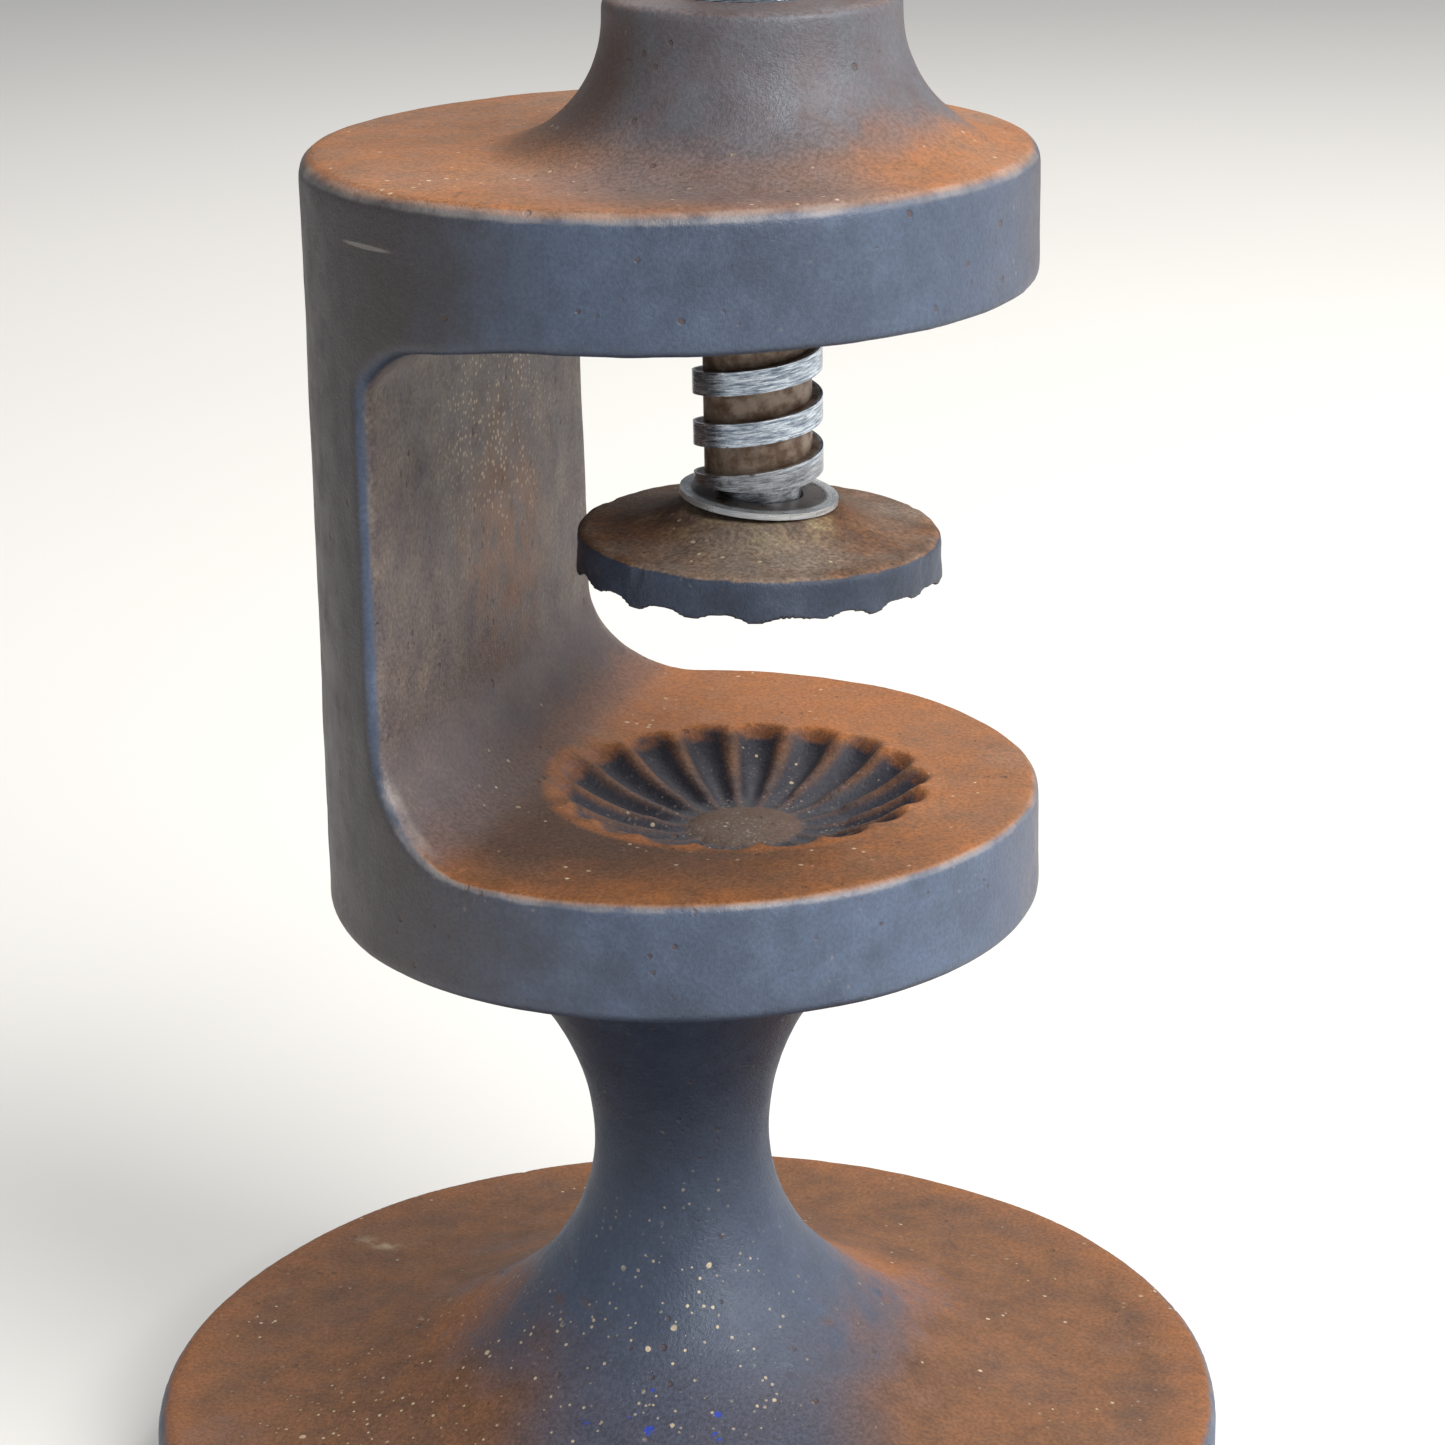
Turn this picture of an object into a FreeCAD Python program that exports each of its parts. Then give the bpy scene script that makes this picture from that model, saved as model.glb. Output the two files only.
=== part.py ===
import FreeCAD, Part
import math
import os

# Pedestal nutcracker with a pressure screw. Millimetres, +Z up.
# The origin is the centre of the underside, on the pedestal's axis. The frame opens towards +X.

Vector = FreeCAD.Vector
UP = Vector(0, 0, 1)

# ---------------------------------------------------------------- sizes that are set by themselves

# Base and stem
baize_thickness = 1.2
baize_inset = 2.2
base_radius = 56.2
base_rim_top = 10.0
base_rim_rounding = 1.5
base_flat_rim = 6.5
neck_radius = 9.15
neck_height = 38.8
stem_lip_radius = 21.5
stem_lip_height = 4.0
upper_flare_angle = 56.0
foot_recess_depth = 4.5
foot_ring_width = 10.0
bolt_pocket_depth = 14.8

# Frame
frame_radius = 36.0
frame_taper = 0.6
frame_offset = 1.0
frame_underside = 66.0
table_thickness = 12.2
mouth_height = 51.3
upper_disc_thickness = 13.1
spine_thickness = 15.9
frame_rim_rounding = 1.8
mouth_edge_rounding = 1.2
table_corner_radius = 11.0
ceiling_corner_radius = 7.5
frame_spigot_radius = 10.0
frame_spigot_depth = 8.0
dowel_radius = 2.0
dowel_depth_in_frame = 4.0
dowel_depth_in_stem = 5.0

# Boss
boss_radius = 14.2
boss_height = 14.4
boss_fillet_radius = 13.0
boss_edge_rounding = 0.9

# Cup in the table
cup_offset = 7.4
cup_radius = 18.9
cup_depth = 5.0
cup_rim_angle = 60.0
button_radius = 5.1
button_rise = 0.8
button_dome = 0.35
flute_count = 18
flute_roundness = 0.28
flute_start_angle = 3.0
flute_gap = 0.3
flute_arc_overrun = 1.2
flute_length_overrun = 1.3
flute_steepest_angle = 82.0
flute_ridge_overlap = 1.15

# Screw
screw_offset = 9.5
thread_radius = 6.35
thread_pitch = 5.08
thread_depth = 1.05
crest_width = 2.3
thread_start_angle = 232.0
spigot_step = 1.2
seat_shoulder = 0.38
stud_radius = 3.9
shoulder_gap = 0.8
nut_gap = 22.5
lowest_pad_gap = 2.18
lowest_handle_gap = 1.4

# Thrust washer
washer_overhang = 1.45
washer_thickness = 0.6
washer_tilt = 5.5
washer_play = 0.25

# Pressure pad
pad_radius = 17.9
pad_rim_thickness = 4.3
pad_hub_rise = 2.5
pad_hub_margin = 0.2
pad_rim_rounding = 0.8
pad_slope_sag = 0.8
pad_hollow_depth = 3.0
pad_recess_step = 0.4
pad_rim_notch = 0.55
pad_rim_angle = 45.0
pad_tilt = 1.9
pad_screw_radius = 2.45
pad_screw_head_grip = 1.3
pad_screw_head_height = 2.4
pad_screw_shank_length = 8.0
screw_slot_width = 1.2
screw_slot_depth = 1.1

# Handle
handle_span = 84.0
handle_hub_wall = 4.42
handle_hub_height = 16.0
handle_hub_rounding = 1.5
handle_waist_radius = 4.8
handle_waist_offset = 13.0
handle_end_radius = 8.0
handle_end_dome = 2.5
handle_washer_radius = 8.0
handle_washer_thickness = 1.5
dome_nut_across_flats = 13.0
dome_nut_hex_height = 6.5
dome_nut_height = 14.5
dome_nut_dome_share = 0.94
stud_length_in_nut = 9.0

# Tie bolt
tie_bolt_radius = 3.9
tie_bolt_head_across_flats = 13.0
tie_bolt_head_height = 5.3
tie_bolt_washer_radius = 8.0
tie_bolt_washer_thickness = 1.6
lock_washer_radius = 6.9
lock_washer_thickness = 2.0
lock_washer_slit = 1.6
tapped_hole_roof = 2.4

# Clearances
thread_clearance = 0.10
running_clearance = 0.10
hole_clearance = 0.05
bolt_hole_clearance = 0.3
spigot_clearance = 0.1
head_clearance = 0.3
recess_clearance = 0.7
washer_clearance = 0.12
end_gap = 1.0

# ---------------------------------------------------------------- sizes that follow from them

# Heights of the stand
base_underside = baize_thickness
table_top = frame_underside + table_thickness
ceiling = table_top + mouth_height
frame_top = ceiling + upper_disc_thickness
boss_top = frame_top + boss_height
pocket_top = base_underside + bolt_pocket_depth
tapped_hole_top = table_top - cup_depth - tapped_hole_roof

# Widths of the stand
frame_top_radius = frame_radius - frame_taper
wall_x = frame_offset - frame_radius + spine_thickness
boss_foot_radius = frame_top_radius - (screw_offset - frame_offset) - frame_rim_rounding
dowel_offset = -(frame_spigot_radius + stem_lip_radius) / 2

# Radii of what turns
core_radius = thread_radius - thread_depth
spigot_radius = core_radius - spigot_step
seat_side = thread_radius * math.sqrt(2) - seat_shoulder
washer_radius = thread_radius + washer_overhang
pad_hub_radius = washer_radius + pad_hub_margin
pad_bore_radius = spigot_radius + running_clearance
pad_screw_head_radius = pad_bore_radius + pad_screw_head_grip
handle_hub_radius = seat_side / math.sqrt(2) + handle_hub_wall

# Heights of what travels, with the pad set for a nut
pad_bottom = table_top + nut_gap
pad_rim_top = pad_bottom + pad_rim_thickness
pad_top = pad_rim_top + pad_hub_rise
pad_floor = pad_bottom + pad_hollow_depth + pad_recess_step
spigot_end = pad_floor - head_clearance
pad_droop = washer_radius * math.sin(math.radians(pad_tilt))
washer_droop = washer_radius * math.sin(math.radians(washer_tilt)) + washer_thickness / 2
washer_height = pad_top - pad_droop + washer_droop + washer_clearance
shoulder_rise = thread_radius * math.tan(math.radians(washer_tilt)) + washer_thickness / 2
thread_end_height = washer_height + shoulder_rise + shoulder_gap
travel_down = nut_gap - lowest_pad_gap
thread_top = boss_top + travel_down + lowest_handle_gap
handle_top = thread_top + handle_hub_height


# ---------------------------------------------------------------- drawing helpers

def at(radius, height):
    """Point in the XZ plane, where outlines to be turned are drawn."""
    return Vector(radius, 0, height)


def line(start, end):
    return Part.LineSegment(start, end).toShape()


def arc(start, middle, end):
    return Part.Arc(start, middle, end).toShape()


def corner(start, vertex, end):
    """Quarter-round arc from start to end, rounding off the right angle at vertex."""
    centre = start + end - vertex
    middle = centre + (vertex - centre) * (1 / math.sqrt(2))
    return arc(start, middle, end)


def dome(edge, crown):
    """Arc from edge to a crown on the axis, turning into part of a sphere."""
    rise = crown.z - edge.z
    radius = (edge.x ** 2 + rise ** 2) / (2 * rise)
    half_angle = math.asin(edge.x / radius) / 2
    middle = at(radius * math.sin(half_angle), crown.z - radius * (1 - math.cos(half_angle)))
    return arc(edge, middle, crown)


def flare(start_radius, start_height, end_radius, end_height, end_angle, steps=8):
    """Part of an ellipse that leaves the start upright and turns outwards by end_angle."""
    sweep = math.radians(end_angle)
    reach = (end_radius - start_radius) / (1 - math.cos(sweep))
    rise = (end_height - start_height) / math.sin(sweep)
    points = []
    for step in range(steps + 1):
        angle = sweep * step / steps
        radius = start_radius + reach * (1 - math.cos(angle))
        points.append(at(radius, start_height + rise * math.sin(angle)))
    curve = Part.BSplineCurve()
    curve.interpolate(points)
    return curve.toShape()


def turned(edges, axis_x=0.0):
    """Solid of revolution about the upright axis at axis_x, from edges drawn about x = 0."""
    outline = Part.Face(Part.Wire(Part.__sortEdges__(edges)))
    solid = Part.Solid(outline.revolve(Vector(0, 0, 0), UP, 360))
    solid.translate(Vector(axis_x, 0, 0))
    return solid


def cylinder(radius, bottom, top, x=0.0):
    return Part.makeCylinder(radius, top - bottom, Vector(x, 0, bottom))


def ring(outer_radius, inner_radius, bottom, top, x=0.0):
    return cylinder(outer_radius, bottom, top, x).cut(cylinder(inner_radius, bottom, top, x))


def hexagon(across_flats, bottom, top, x=0.0):
    """Upright hexagonal prism with its outer corners turned off."""
    corner_radius = across_flats / math.sqrt(3)
    points = []
    for index in range(7):
        angle = math.radians(60 * index)
        points.append(Vector(corner_radius * math.cos(angle), corner_radius * math.sin(angle), bottom))
    prism = Part.Face(Part.makePolygon(points)).extrude(Vector(0, 0, top - bottom))
    prism.translate(Vector(x, 0, 0))
    return prism


def square_bar(side, bottom, top, x=0.0):
    return Part.makeBox(side, side, top - bottom, Vector(x - side / 2, -side / 2, bottom))


def thread_ridge(inner_radius, outer_radius, width, bottom, top):
    """Right-hand square ridge on the screw's axis, in phase with the screw at any height."""
    turns_below = (bottom - thread_end_height) / thread_pitch
    path = Part.makeHelix(thread_pitch, top - bottom, inner_radius)
    corners = [
        at(inner_radius, -width / 2),
        at(outer_radius, -width / 2),
        at(outer_radius, width / 2),
        at(inner_radius, width / 2),
        at(inner_radius, -width / 2),
    ]
    ridge = Part.Wire(path).makePipeShell([Part.makePolygon(corners)], True, True)
    ridge.rotate(Vector(0, 0, 0), UP, thread_start_angle + 360 * turns_below)
    ridge.translate(Vector(screw_offset, 0, bottom))
    return ridge


def fluted_hollow(centre_radius, centre_depth, centre_rise, inner_depth, rim_radius, rim_depth, rim_angle):
    """Cutters for a round hollow with radial flutes round a plain centre, opening upwards from z = 0.

    The bottom of each flute is part of an ellipse from the centre to the rim. A flute's section is
    an arc that grows with the radius, so the ridges between flutes stay sharp. The centre is flat,
    or domed by centre_rise.
    """
    inner_radius = centre_radius + flute_gap
    sweep = math.radians(rim_angle)
    reach = (rim_radius - inner_radius) / math.sin(sweep)
    rise = (inner_depth - rim_depth) / (1 - math.cos(sweep))
    half_spacing = math.tan(math.pi / flute_count)
    ridge_height = flute_roundness - math.sqrt(flute_roundness ** 2 - half_spacing ** 2)
    half_arc = math.asin(half_spacing / flute_roundness) * flute_arc_overrun
    last_angle = min(sweep * flute_length_overrun, math.radians(flute_steepest_angle))
    sections = []
    crest = []
    steps = 5
    for step in range(steps + 1):
        angle = last_angle * step / steps
        bottom = at(inner_radius + reach * math.sin(angle), -inner_depth + rise * (1 - math.cos(angle)))
        tangent = at(reach * math.cos(angle), rise * math.sin(angle)).normalize()
        normal = at(-tangent.z, tangent.x)
        radius = bottom.x * flute_roundness
        middle = bottom + normal * (radius * (1 - math.cos(half_arc)))
        side = Vector(0, radius * math.sin(half_arc), 0)
        left = middle - side
        right = middle + side
        sections.append(Part.Wire([arc(left, bottom, right), line(right, left)]))
        crest.append(bottom + normal * (bottom.x * ridge_height * flute_ridge_overlap))
    flute = Part.makeLoft(sections, True)

    crest_curve = Part.BSplineCurve()
    crest_curve.interpolate(crest)
    above = max(crest[-1].z, 0) + inner_depth
    centre_edge = at(centre_radius, -centre_depth)
    centre_top = at(0, centre_rise - centre_depth)
    step_foot = at(centre_radius, crest[0].z)
    bowl = turned([
        dome(centre_edge, centre_top) if centre_rise else line(centre_edge, centre_top),
        line(centre_edge, step_foot),
        line(step_foot, crest[0]),
        crest_curve.toShape(),
        line(crest[-1], at(crest[-1].x, above)),
        line(at(crest[-1].x, above), at(0, above)),
        line(at(0, above), centre_top),
    ])
    cutters = [bowl]
    for index in range(flute_count):
        copy = flute.copy()
        copy.rotate(Vector(0, 0, 0), UP, flute_start_angle + 360 * index / flute_count)
        cutters.append(copy)
    return cutters


# ---------------------------------------------------------------- stand

def make_pedestal():
    """Base and waisted stem in one iron casting, hollowed under the foot for the tie bolt."""
    rim_low = at(base_radius, base_rim_top - base_rim_rounding)
    rim_top = at(base_radius - base_rim_rounding, base_rim_top)
    flare_end = at(base_radius - base_flat_rim, base_rim_top)
    lip_bottom = at(stem_lip_radius, frame_underside - stem_lip_height)
    lip_top = at(stem_lip_radius, frame_underside)
    body = turned([
        line(at(0, base_underside), at(base_radius, base_underside)),
        line(at(base_radius, base_underside), rim_low),
        corner(rim_low, at(base_radius, base_rim_top), rim_top),
        line(rim_top, flare_end),
        flare(neck_radius, neck_height, flare_end.x, flare_end.z, 90),
        flare(neck_radius, neck_height, lip_bottom.x, lip_bottom.z, upper_flare_angle),
        line(lip_bottom, lip_top),
        line(lip_top, at(0, frame_underside)),
        line(at(0, frame_underside), at(0, base_underside)),
    ])
    recess_radius = base_radius - foot_ring_width
    pocket_radius = tie_bolt_washer_radius + end_gap
    socket_bottom = frame_underside - frame_spigot_depth - spigot_clearance
    body = body.cut([
        cylinder(recess_radius, base_underside - 1, base_underside + foot_recess_depth),
        cylinder(pocket_radius, base_underside - 1, pocket_top),
        cylinder(tie_bolt_radius + bolt_hole_clearance, base_underside, frame_underside),
        cylinder(frame_spigot_radius + spigot_clearance, socket_bottom, frame_underside + 1),
        dowel_hole(),
    ])
    return body


def make_base_baize():
    """Round of felt glued over the foot ring."""
    return cylinder(base_radius - baize_inset, 0, baize_thickness)


def make_tie_bolt():
    """Hexagon-head bolt from the foot up into the frame."""
    head_top = pocket_top - tie_bolt_washer_thickness - lock_washer_thickness
    head = hexagon(tie_bolt_head_across_flats, head_top - tie_bolt_head_height, head_top)
    return head.fuse(cylinder(tie_bolt_radius, head_top, tapped_hole_top - end_gap)).removeSplitter()


def make_tie_bolt_washer():
    inner_radius = tie_bolt_radius + bolt_hole_clearance
    return ring(tie_bolt_washer_radius, inner_radius, pocket_top - tie_bolt_washer_thickness, pocket_top)


def make_tie_bolt_lock_washer():
    """Spring washer with a slit through one side."""
    top = pocket_top - tie_bolt_washer_thickness
    bottom = top - lock_washer_thickness
    washer = ring(lock_washer_radius, tie_bolt_radius + bolt_hole_clearance, bottom, top)
    slit_size = Vector(lock_washer_radius + 1, lock_washer_slit, lock_washer_thickness + 2)
    slit = Part.makeBox(slit_size.x, slit_size.y, slit_size.z, Vector(0, -lock_washer_slit / 2, bottom - 1))
    return washer.cut(slit)


def make_locating_dowel():
    bottom = frame_underside - dowel_depth_in_stem
    return cylinder(dowel_radius, bottom, frame_underside + dowel_depth_in_frame, dowel_offset)


def dowel_hole():
    """Hole for the dowel, through the joint between stem and frame."""
    bottom = frame_underside - dowel_depth_in_stem
    top = frame_underside + dowel_depth_in_frame
    return cylinder(dowel_radius + hole_clearance, bottom, top, dowel_offset)


# ---------------------------------------------------------------- frame

def make_frame_blank():
    """Slightly tapered drum with rounded rims."""
    rounding = frame_rim_rounding
    low_rim = at(frame_radius, frame_underside + rounding)
    high_rim = at(frame_top_radius, frame_top - rounding)
    return turned([
        line(at(0, frame_underside), at(frame_radius - rounding, frame_underside)),
        corner(
            at(frame_radius - rounding, frame_underside),
            at(frame_radius, frame_underside),
            low_rim,
        ),
        line(low_rim, high_rim),
        corner(high_rim, at(frame_top_radius, frame_top), at(frame_top_radius - rounding, frame_top)),
        line(at(frame_top_radius - rounding, frame_top), at(0, frame_top)),
        line(at(0, frame_top), at(0, frame_underside)),
    ], frame_offset)


def make_mouth():
    """Cutter for the opening between table, spine and upper disc."""
    far_x = frame_offset + frame_radius + 1
    half_width = frame_radius + 1
    edges = [
        line(at(far_x, table_top), at(wall_x + table_corner_radius, table_top)),
        corner(
            at(wall_x + table_corner_radius, table_top),
            at(wall_x, table_top),
            at(wall_x, table_top + table_corner_radius),
        ),
        line(at(wall_x, table_top + table_corner_radius), at(wall_x, ceiling - ceiling_corner_radius)),
        corner(
            at(wall_x, ceiling - ceiling_corner_radius),
            at(wall_x, ceiling),
            at(wall_x + ceiling_corner_radius, ceiling),
        ),
        line(at(wall_x + ceiling_corner_radius, ceiling), at(far_x, ceiling)),
        line(at(far_x, ceiling), at(far_x, table_top)),
    ]
    outline = Part.Face(Part.Wire(Part.__sortEdges__(edges)))
    outline.translate(Vector(0, -half_width, 0))
    return outline.extrude(Vector(0, 2 * half_width, 0))


def mouth_edges(solid):
    """Edges where the mouth breaks through the outside of the drum."""
    found = []
    for edge in solid.Edges:
        middle = edge.valueAt((edge.FirstParameter + edge.LastParameter) / 2)
        radius = math.hypot(middle.x - frame_offset, middle.y)
        inside_mouth = table_top - 0.01 <= middle.z <= ceiling + 0.01
        if inside_mouth and radius > frame_top_radius - 0.5 and middle.x > wall_x - 0.5:
            found.append(edge)
    return found


def make_boss():
    """Flared boss on the upper disc, round the screw."""
    overlap = 2.0
    side_reach = boss_radius + boss_fillet_radius - boss_foot_radius
    centre_rise = math.sqrt(boss_fillet_radius ** 2 - side_reach ** 2)
    centre = at(boss_radius + boss_fillet_radius, frame_top + centre_rise)
    arc_top = at(boss_radius, centre.z)
    arc_foot = at(boss_foot_radius, frame_top)
    half_turn = (math.pi + math.asin(centre_rise / boss_fillet_radius)) / 2 + math.pi / 2
    arc_middle = centre + at(math.cos(half_turn), -abs(math.sin(half_turn))) * boss_fillet_radius
    edge_low = at(boss_radius, boss_top - boss_edge_rounding)
    edge_top = at(boss_radius - boss_edge_rounding, boss_top)
    return turned([
        line(at(0, frame_top - overlap), at(boss_foot_radius, frame_top - overlap)),
        line(at(boss_foot_radius, frame_top - overlap), arc_foot),
        arc(arc_foot, arc_middle, arc_top),
        line(arc_top, edge_low),
        corner(edge_low, at(boss_radius, boss_top), edge_top),
        line(edge_top, at(0, boss_top)),
        line(at(0, boss_top), at(0, frame_top - overlap)),
    ], screw_offset)


def make_cup_cutters():
    button_depth = cup_depth - button_rise + button_dome
    cutters = fluted_hollow(button_radius, button_depth, button_dome, cup_depth, cup_radius, 0, cup_rim_angle)
    for cutter in cutters:
        cutter.translate(Vector(cup_offset, 0, table_top))
    return cutters


def make_press_frame():
    """Table, spine, upper disc and boss in one iron casting, with the screw's nut thread."""
    frame = make_frame_blank().cut(make_mouth())
    frame = frame.makeFillet(mouth_edge_rounding, mouth_edges(frame))
    frame = frame.fuse(make_boss())
    frame = frame.cut(make_cup_cutters())
    spigot = cylinder(frame_spigot_radius, frame_underside - frame_spigot_depth, frame_underside + 1)
    frame = frame.fuse(spigot)
    bore = cylinder(core_radius + thread_clearance, ceiling - 1, boss_top + 1, screw_offset)
    groove = thread_ridge(
        core_radius - 0.2,
        thread_radius + thread_clearance,
        crest_width + 2 * thread_clearance,
        ceiling - thread_pitch,
        boss_top + thread_pitch,
    )
    tapped_hole_radius = tie_bolt_radius + hole_clearance
    tapped_hole = cylinder(tapped_hole_radius, frame_underside - frame_spigot_depth - 1, tapped_hole_top)
    return frame.cut([tapped_hole, dowel_hole()]).cut(groove).cut(bore)


# ---------------------------------------------------------------- screw and what turns with it

def make_pressure_screw():
    """Threaded spindle with a spigot for the pad below, a square seat and a stud above."""
    ridge = thread_ridge(
        core_radius - 0.3,
        thread_radius,
        crest_width,
        thread_end_height - thread_pitch,
        thread_top + thread_pitch,
    )
    trim = cylinder(thread_radius + 1, thread_end_height, thread_top, screw_offset)
    threaded = cylinder(core_radius, thread_end_height, thread_top, screw_offset).fuse(ridge.common(trim))
    seat_top = handle_top - end_gap
    stud_top = handle_top + handle_washer_thickness + stud_length_in_nut
    spindle = threaded.fuse([
        cylinder(spigot_radius, spigot_end, thread_end_height + 1, screw_offset),
        square_bar(seat_side, thread_top - 1, seat_top, screw_offset),
        cylinder(stud_radius, seat_top - 1, stud_top, screw_offset),
    ])
    hole_top = spigot_end + pad_screw_shank_length + end_gap
    tapped_hole_radius = pad_screw_radius + hole_clearance
    return spindle.cut(cylinder(tapped_hole_radius, spigot_end - 1, hole_top, screw_offset))


def make_pad_retaining_screw():
    """Slotted cheese-head screw into the end of the spigot."""
    head_bottom = spigot_end - pad_screw_head_height
    head = cylinder(pad_screw_head_radius, head_bottom, spigot_end, screw_offset)
    shank = cylinder(pad_screw_radius, spigot_end, spigot_end + pad_screw_shank_length, screw_offset)
    slot_start = Vector(
        screw_offset - pad_screw_head_radius - 1,
        -screw_slot_width / 2,
        head_bottom - 1,
    )
    slot = Part.makeBox(2 * pad_screw_head_radius + 2, screw_slot_width, screw_slot_depth + 1, slot_start)
    return head.fuse(shank).cut(slot)


def make_handle():
    """Iron cross handle: an upright hub and two arms that flare to round ends."""
    half_span = handle_span / 2
    middle = (thread_top + handle_top) / 2
    rounding = handle_hub_rounding
    radius = handle_hub_radius
    hub = turned([
        line(at(0, thread_top), at(radius - rounding, thread_top)),
        corner(at(radius - rounding, thread_top), at(radius, thread_top), at(radius, thread_top + rounding)),
        line(at(radius, thread_top + rounding), at(radius, handle_top - rounding)),
        corner(at(radius, handle_top - rounding), at(radius, handle_top), at(radius - rounding, handle_top)),
        line(at(radius - rounding, handle_top), at(0, handle_top)),
        line(at(0, handle_top), at(0, thread_top)),
    ], screw_offset)
    end_start = half_span - handle_end_dome
    arm = turned([
        line(at(0, 0), at(handle_waist_radius, 0)),
        line(at(handle_waist_radius, 0), at(handle_waist_radius, handle_waist_offset)),
        flare(handle_waist_radius, handle_waist_offset, handle_end_radius, end_start, 50),
        dome(at(handle_end_radius, end_start), at(0, half_span)),
        line(at(0, half_span), at(0, 0)),
    ])
    arms = []
    for side in (-90, 90):
        placed = arm.copy()
        placed.rotate(Vector(0, 0, 0), Vector(1, 0, 0), side)
        placed.translate(Vector(screw_offset, 0, middle))
        arms.append(placed)
    hole_side = seat_side + 2 * hole_clearance
    hole = square_bar(hole_side, thread_top - 1, handle_top + 1, screw_offset)
    return hub.fuse(arms).cut(hole)


def make_handle_washer():
    inner_radius = stud_radius + bolt_hole_clearance
    top = handle_top + handle_washer_thickness
    return ring(handle_washer_radius, inner_radius, handle_top, top, screw_offset)


def make_handle_dome_nut():
    """Hexagon nut with a closed dome over the end of the stud."""
    bottom = handle_top + handle_washer_thickness
    hex_top = bottom + dome_nut_hex_height
    top = bottom + dome_nut_height
    dome_radius = dome_nut_across_flats / 2 * dome_nut_dome_share
    side_top = top - dome_radius
    cap = turned([
        line(at(0, hex_top - 1), at(dome_radius, hex_top - 1)),
        line(at(dome_radius, hex_top - 1), at(dome_radius, side_top)),
        dome(at(dome_radius, side_top), at(0, top)),
        line(at(0, top), at(0, hex_top - 1)),
    ], screw_offset)
    nut = hexagon(dome_nut_across_flats, bottom, hex_top, screw_offset).fuse(cap)
    hole_top = bottom + stud_length_in_nut + end_gap
    return nut.cut(cylinder(stud_radius + hole_clearance, bottom - 1, hole_top, screw_offset))


# ---------------------------------------------------------------- washer and pad

def make_thrust_washer():
    """Loose washer lying askew on the pad's hub."""
    bottom = washer_height - washer_thickness / 2
    top = washer_height + washer_thickness / 2
    washer = ring(washer_radius, spigot_radius + washer_play, bottom, top, screw_offset)
    washer.rotate(Vector(screw_offset, 0, washer_height), Vector(0, 1, 0), washer_tilt)
    return washer


def make_pressure_pad():
    """Round iron pad that swivels on the spigot and droops slightly towards the open side."""
    rim_side_top = at(pad_radius, pad_rim_top - pad_rim_rounding)
    rim_top = at(pad_radius - pad_rim_rounding, pad_rim_top)
    hub_edge = at(pad_hub_radius, pad_top)
    slope_middle = (rim_top + hub_edge) * 0.5 - at(0, pad_slope_sag)
    pad = turned([
        line(at(0, pad_bottom), at(pad_radius, pad_bottom)),
        line(at(pad_radius, pad_bottom), rim_side_top),
        corner(rim_side_top, at(pad_radius, pad_rim_top), rim_top),
        arc(rim_top, slope_middle, hub_edge),
        line(hub_edge, at(0, pad_top)),
        line(at(0, pad_top), at(0, pad_bottom)),
    ])
    recess_radius = pad_screw_head_radius + recess_clearance
    recess_depth = pad_floor - pad_bottom
    cutters = fluted_hollow(
        recess_radius, recess_depth, 0, pad_hollow_depth, pad_radius, pad_rim_notch, pad_rim_angle
    )
    for cutter in cutters:
        cutter.rotate(Vector(0, 0, 0), Vector(1, 0, 0), 180)
        cutter.translate(Vector(0, 0, pad_bottom))
    cutters.append(cylinder(pad_bore_radius, pad_bottom, pad_top + 1))
    pad = pad.cut(cutters)
    pad.translate(Vector(screw_offset, 0, 0))
    pivot = Vector(screw_offset, 0, (pad_floor + pad_top) / 2)
    pad.rotate(pivot, Vector(0, 1, 0), pad_tilt)
    return pad


# ---------------------------------------------------------------- write every piece

pieces = {
    "pedestal": make_pedestal,
    "press_frame": make_press_frame,
    "tie_bolt": make_tie_bolt,
    "tie_bolt_washer": make_tie_bolt_washer,
    "tie_bolt_lock_washer": make_tie_bolt_lock_washer,
    "locating_dowel": make_locating_dowel,
    "base_baize": make_base_baize,
    "pressure_screw": make_pressure_screw,
    "thrust_washer": make_thrust_washer,
    "pressure_pad": make_pressure_pad,
    "pad_retaining_screw": make_pad_retaining_screw,
    "handle": make_handle,
    "handle_washer": make_handle_washer,
    "handle_dome_nut": make_handle_dome_nut,
}

os.makedirs("parts", exist_ok=True)
for name, make in pieces.items():
    make().exportStep("parts/" + name + ".step")
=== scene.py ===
import math

import bmesh
import bpy
from mathutils import Matrix, Vector, noise


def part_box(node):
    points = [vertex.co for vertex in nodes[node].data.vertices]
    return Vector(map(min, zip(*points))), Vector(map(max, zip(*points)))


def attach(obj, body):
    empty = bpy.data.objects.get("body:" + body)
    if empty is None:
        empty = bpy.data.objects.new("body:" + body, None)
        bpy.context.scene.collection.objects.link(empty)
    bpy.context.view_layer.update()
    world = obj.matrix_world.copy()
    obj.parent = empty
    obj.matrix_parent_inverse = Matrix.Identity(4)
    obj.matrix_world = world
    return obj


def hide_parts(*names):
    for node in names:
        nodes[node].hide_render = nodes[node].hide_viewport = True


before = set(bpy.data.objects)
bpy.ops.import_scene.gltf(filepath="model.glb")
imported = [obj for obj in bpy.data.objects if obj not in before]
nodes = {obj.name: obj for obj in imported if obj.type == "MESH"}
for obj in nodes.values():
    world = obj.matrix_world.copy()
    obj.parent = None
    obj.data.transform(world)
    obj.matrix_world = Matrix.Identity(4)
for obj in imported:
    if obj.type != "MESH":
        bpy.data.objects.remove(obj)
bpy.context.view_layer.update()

# Looks of a cast-iron pedestal nutcracker. Metres, in the frame's own axes: +Z up, the mouth opens to +X.

MM = 0.001

# ---------------------------------------------------------------- the part's own sizes

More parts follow.
